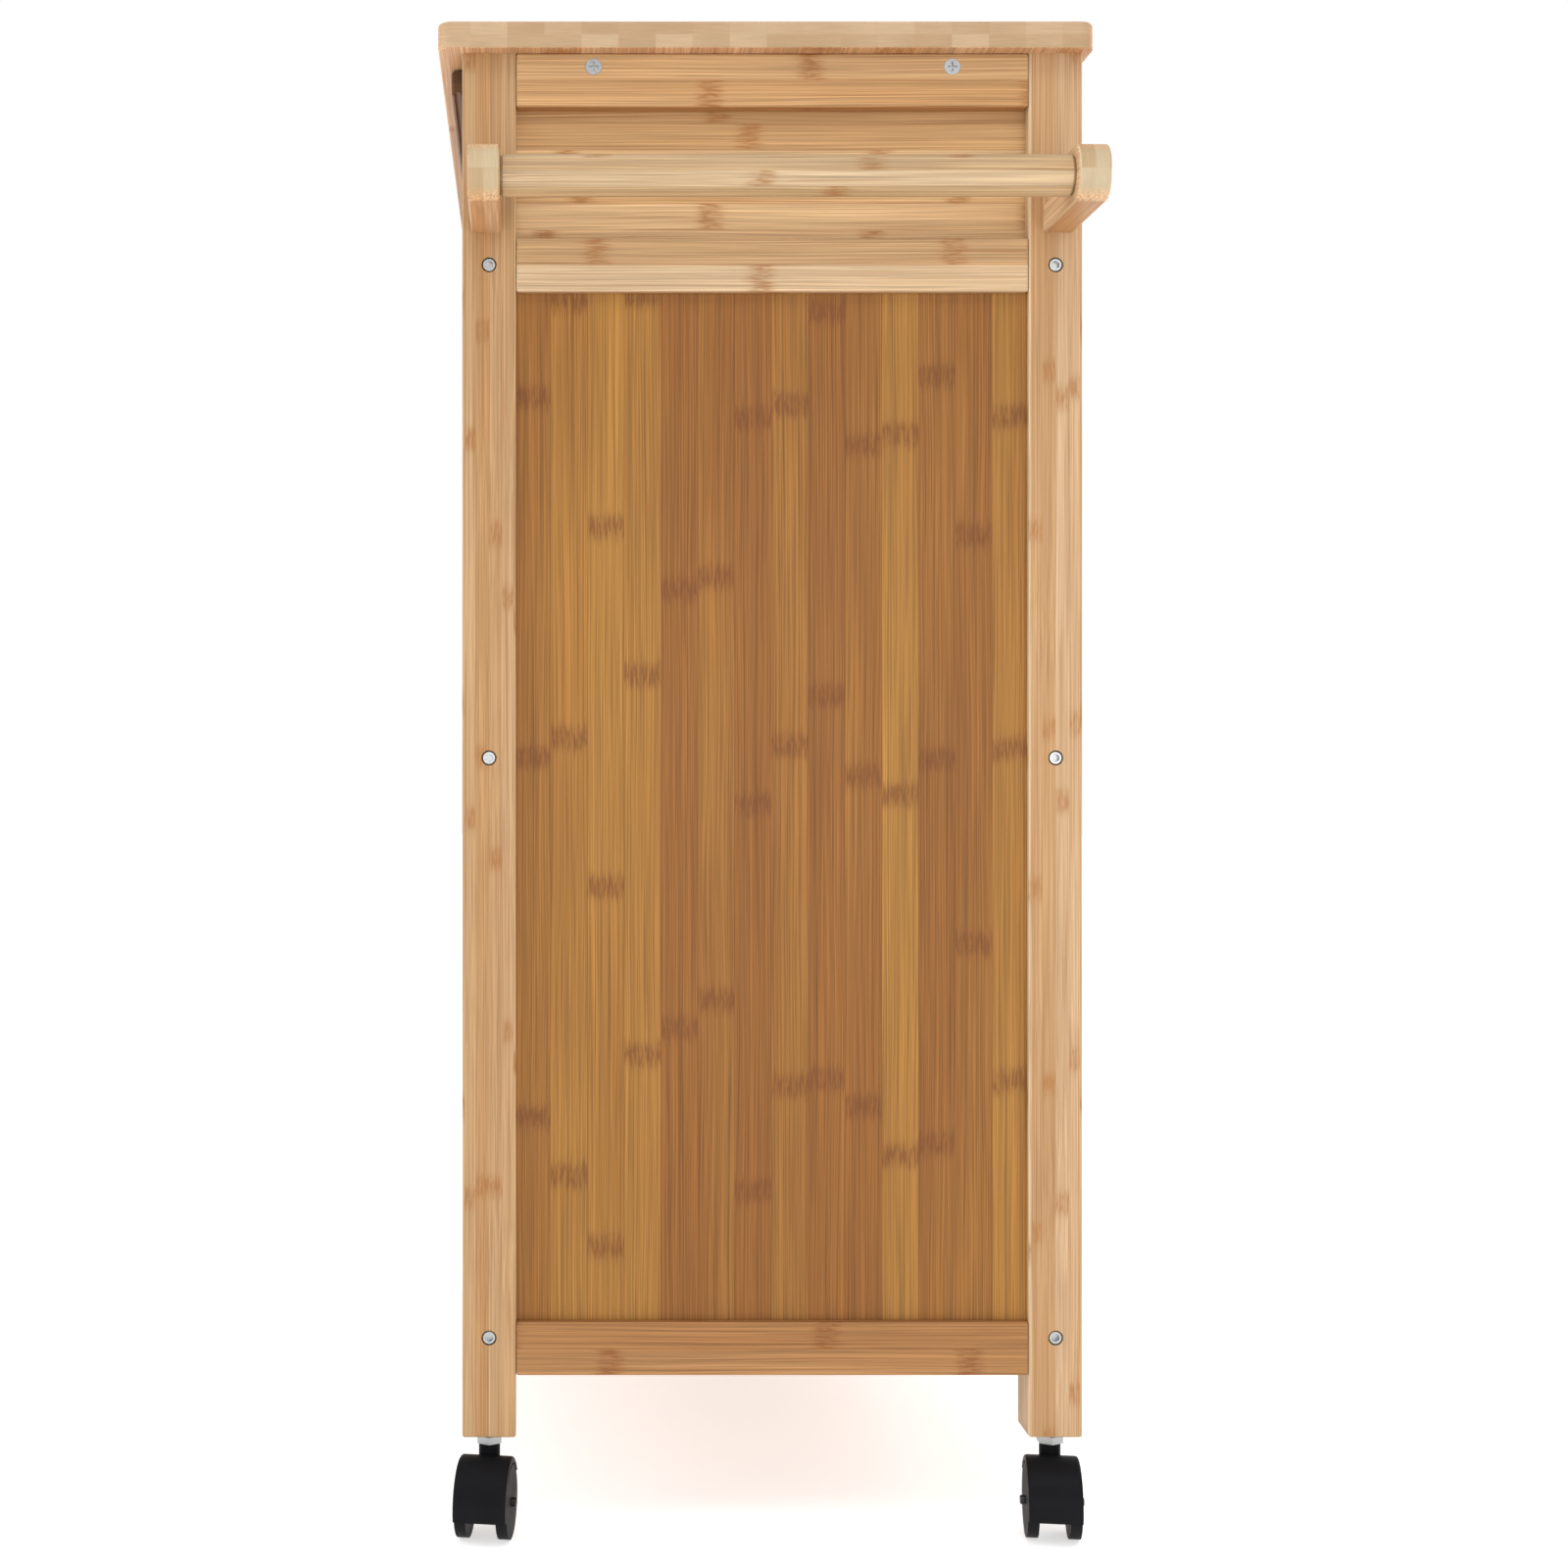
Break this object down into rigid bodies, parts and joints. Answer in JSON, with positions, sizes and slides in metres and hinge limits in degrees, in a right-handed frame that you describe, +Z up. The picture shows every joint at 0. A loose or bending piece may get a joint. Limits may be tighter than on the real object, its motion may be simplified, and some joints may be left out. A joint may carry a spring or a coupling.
{
  "type": "rolling utility cart",
  "caption": "Rolling bamboo utility cart with worktop, drawers, open shelves behind panelled sides, an end towel rail and swivel twin-wheel casters.",
  "frame": {"origin": "on the floor under the middle of the whole cart's bounding box", "axes": "+X along the cart towards the towel rail, -Y towards the drawer side, +Z up"},
  "size_m": [0.675, 0.364, 0.843],
  "materials": {
    "worktop_bamboo": "satin lacquer",
    "light_bamboo": "satin lacquer",
    "caramel_bamboo": "satin lacquer",
    "dark_bamboo": "satin lacquer",
    "zinc_steel": "zinc plated",
    "black_plastic": "satin moulded",
    "black_wheel": "matte moulded"
  },
  "bodies": {
    "cart": {"back_base_rail": "light_bamboo", "back_drawer_rail": "light_bamboo", "back_panel": "caramel_bamboo", "back_shelf_rail": "light_bamboo", "barrel_nuts": "zinc_steel", "bottom_shelf": "light_bamboo", "caster_stems": "zinc_steel", "cleat_screws": "zinc_steel", "drawer_divider": "light_bamboo", "drawer_runners": "light_bamboo", "frame_bolts": "zinc_steel", "front_base_rail": "light_bamboo", "front_drawer_rail": "light_bamboo", "front_shelf_rail": "light_bamboo", "leg_back_left": "light_bamboo", "leg_back_right": "light_bamboo", "leg_front_left": "light_bamboo", "leg_front_right": "light_bamboo", "middle_shelf": "light_bamboo", "side_board_left": "light_bamboo", "side_board_right": "light_bamboo", "side_panel_left": "caramel_bamboo", "side_panel_right": "caramel_bamboo", "side_rail_bottom_left": "light_bamboo", "side_rail_bottom_right": "light_bamboo", "side_rail_middle_left": "light_bamboo", "side_rail_middle_right": "light_bamboo", "side_rail_top_left": "light_bamboo", "side_rail_top_right": "light_bamboo", "threaded_inserts": "zinc_steel", "towel_bar": "light_bamboo", "towel_bracket_back": "light_bamboo", "towel_bracket_front": "light_bamboo", "towel_rail_screws": "zinc_steel", "worktop": "worktop_bamboo", "worktop_cleats": "light_bamboo"},
    "caster_front_right": {"caster_hood_front_right": "black_plastic", "caster_axle_front_right": "zinc_steel"},
    "wheel_a_front_right": {"caster_wheel_a_front_right": "black_wheel"},
    "wheel_b_front_right": {"caster_wheel_b_front_right": "black_wheel"},
    "caster_front_left": {"caster_hood_front_left": "black_plastic", "caster_axle_front_left": "zinc_steel"},
    "wheel_a_front_left": {"caster_wheel_a_front_left": "black_wheel"},
    "wheel_b_front_left": {"caster_wheel_b_front_left": "black_wheel"},
    "caster_back_right": {"caster_hood_back_right": "black_plastic", "caster_axle_back_right": "zinc_steel"},
    "wheel_a_back_right": {"caster_wheel_a_back_right": "black_wheel"},
    "wheel_b_back_right": {"caster_wheel_b_back_right": "black_wheel"},
    "caster_back_left": {"caster_hood_back_left": "black_plastic", "caster_axle_back_left": "zinc_steel"},
    "wheel_a_back_left": {"caster_wheel_a_back_left": "black_wheel"},
    "wheel_b_back_left": {"caster_wheel_b_back_left": "black_wheel"},
    "drawer_left": {"drawer_front_left": "light_bamboo", "drawer_pull_left": "dark_bamboo", "drawer_walls_left": "light_bamboo", "drawer_bottom_left": "light_bamboo"},
    "drawer_right": {"drawer_front_right": "light_bamboo", "drawer_pull_right": "dark_bamboo", "drawer_walls_right": "light_bamboo", "drawer_bottom_right": "light_bamboo"}
  },
  "joints": [
    {"name": "caster_front_right_swivel", "type": "hinge", "parent": "cart", "child": "caster_front_right", "pos_m": [0.2375, -0.1538, 0.0415], "axis": [0, 0, 1], "continuous": true},
    {"name": "wheel_a_front_right_spin", "type": "hinge", "parent": "caster_front_right", "child": "wheel_a_front_right", "pos_m": [0.24986, -0.15565, 0.02], "axis": [-0.1478, -0.989, 0], "continuous": true},
    {"name": "wheel_b_front_right_spin", "type": "hinge", "parent": "caster_front_right", "child": "wheel_b_front_right", "pos_m": [0.24986, -0.15565, 0.02], "axis": [-0.1478, -0.989, 0], "continuous": true},
    {"name": "caster_front_left_swivel", "type": "hinge", "parent": "cart", "child": "caster_front_left", "pos_m": [-0.3125, -0.1538, 0.0415], "axis": [0, 0, 1], "continuous": true},
    {"name": "wheel_a_front_left_spin", "type": "hinge", "parent": "caster_front_left", "child": "wheel_a_front_left", "pos_m": [-0.30003, -0.15293, 0.02], "axis": [0.0698, -0.9976, 0], "continuous": true},
    {"name": "wheel_b_front_left_spin", "type": "hinge", "parent": "caster_front_left", "child": "wheel_b_front_left", "pos_m": [-0.30003, -0.15293, 0.02], "axis": [0.0698, -0.9976, 0], "continuous": true},
    {"name": "caster_back_right_swivel", "type": "hinge", "parent": "cart", "child": "caster_back_right", "pos_m": [0.2375, 0.1622, 0.0415], "axis": [0, 0, 1], "continuous": true},
    {"name": "wheel_a_back_right_spin", "type": "hinge", "parent": "caster_back_right", "child": "wheel_a_back_right", "pos_m": [0.24991, 0.16068, 0.02], "axis": [-0.1219, -0.9925, 0], "continuous": true},
    {"name": "wheel_b_back_right_spin", "type": "hinge", "parent": "caster_back_right", "child": "wheel_b_back_right", "pos_m": [0.24991, 0.16068, 0.02], "axis": [-0.1219, -0.9925, 0], "continuous": true},
    {"name": "caster_back_left_swivel", "type": "hinge", "parent": "cart", "child": "caster_back_left", "pos_m": [-0.3125, 0.1622, 0.0415], "axis": [0, 0, 1], "continuous": true},
    {"name": "wheel_a_back_left_spin", "type": "hinge", "parent": "caster_back_left", "child": "wheel_a_back_left", "pos_m": [-0.30002, 0.16155, 0.02], "axis": [-0.0523, -0.9986, 0], "continuous": true},
    {"name": "wheel_b_back_left_spin", "type": "hinge", "parent": "caster_back_left", "child": "wheel_b_back_left", "pos_m": [-0.30002, 0.16155, 0.02], "axis": [-0.0523, -0.9986, 0], "continuous": true},
    {"name": "drawer_left_slide", "type": "slide", "parent": "cart", "child": "drawer_left", "axis": [0, -1, 0], "range_m": [0, 0.22]},
    {"name": "drawer_right_slide", "type": "slide", "parent": "cart", "child": "drawer_right", "axis": [0, -1, 0], "range_m": [0, 0.22]}
  ]
}
